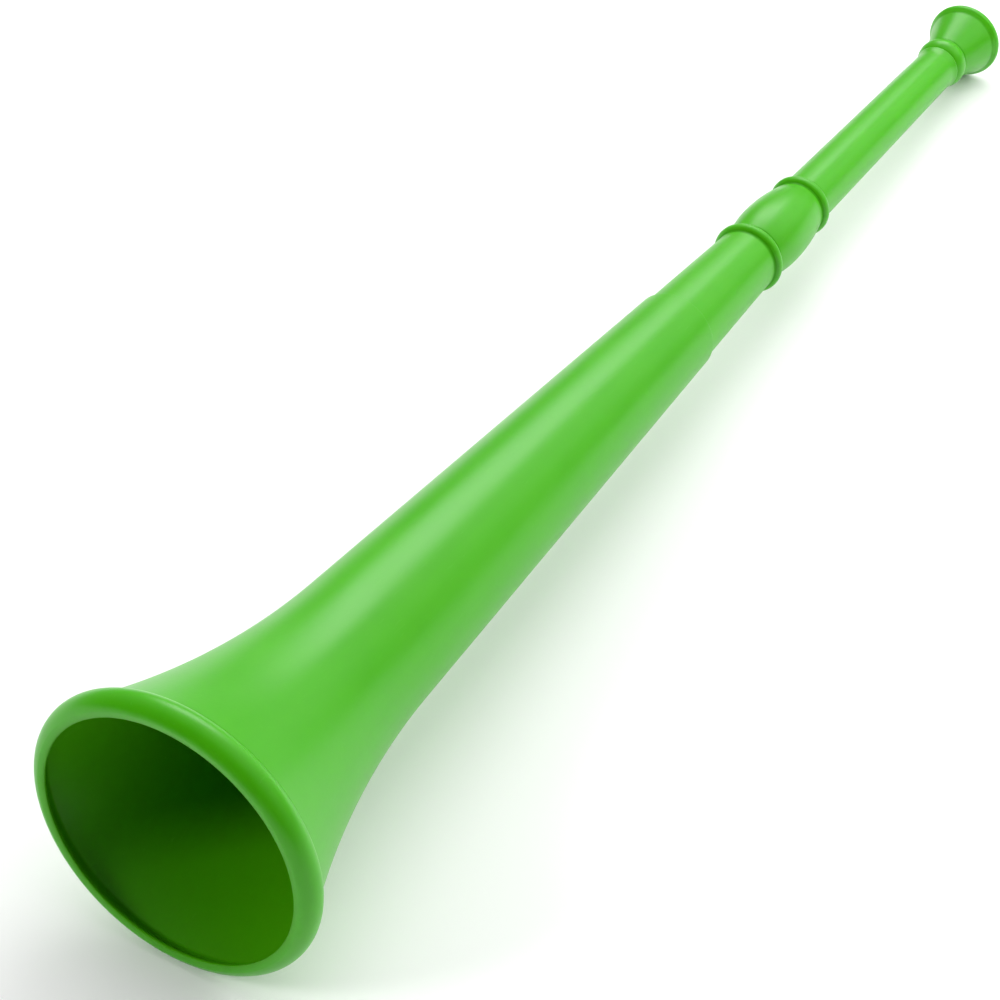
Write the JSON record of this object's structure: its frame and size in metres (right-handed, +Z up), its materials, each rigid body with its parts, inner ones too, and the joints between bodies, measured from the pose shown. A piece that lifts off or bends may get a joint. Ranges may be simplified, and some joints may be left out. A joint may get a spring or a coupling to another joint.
{
  "type": "stadium horn",
  "caption": "Telescopic plastic stadium horn lying on the ground: flared bell with a rolled rim, sliding blowpipe with two rings and a bulged grip, and a plug-in lip-blown mouthpiece.",
  "frame": {"origin": "centre of the horn's box in plan, on the ground that its rim and its lip rest on", "axes": "+X along the horn from bell to mouthpiece, +Y across it, +Z up; the horn's own axis leans 3.5 degrees down towards +X"},
  "size_m": [0.6528, 0.114, 0.1138],
  "materials": {
    "green_plastic": "satin"
  },
  "bodies": {
    "bell": {"bell": "green_plastic"},
    "blowpipe": {"blowpipe": "green_plastic"},
    "mouthpiece": {"mouthpiece": "green_plastic"}
  },
  "joints": [
    {"name": "telescope", "type": "slide", "parent": "bell", "child": "blowpipe", "axis": [0.9981, 0, -0.0612], "range_m": [-0.293, 0]},
    {"name": "mouthpiece_pull", "type": "slide", "parent": "blowpipe", "child": "mouthpiece", "axis": [0.9981, 0, -0.0612], "range_m": [0, 0.0135]}
  ]
}
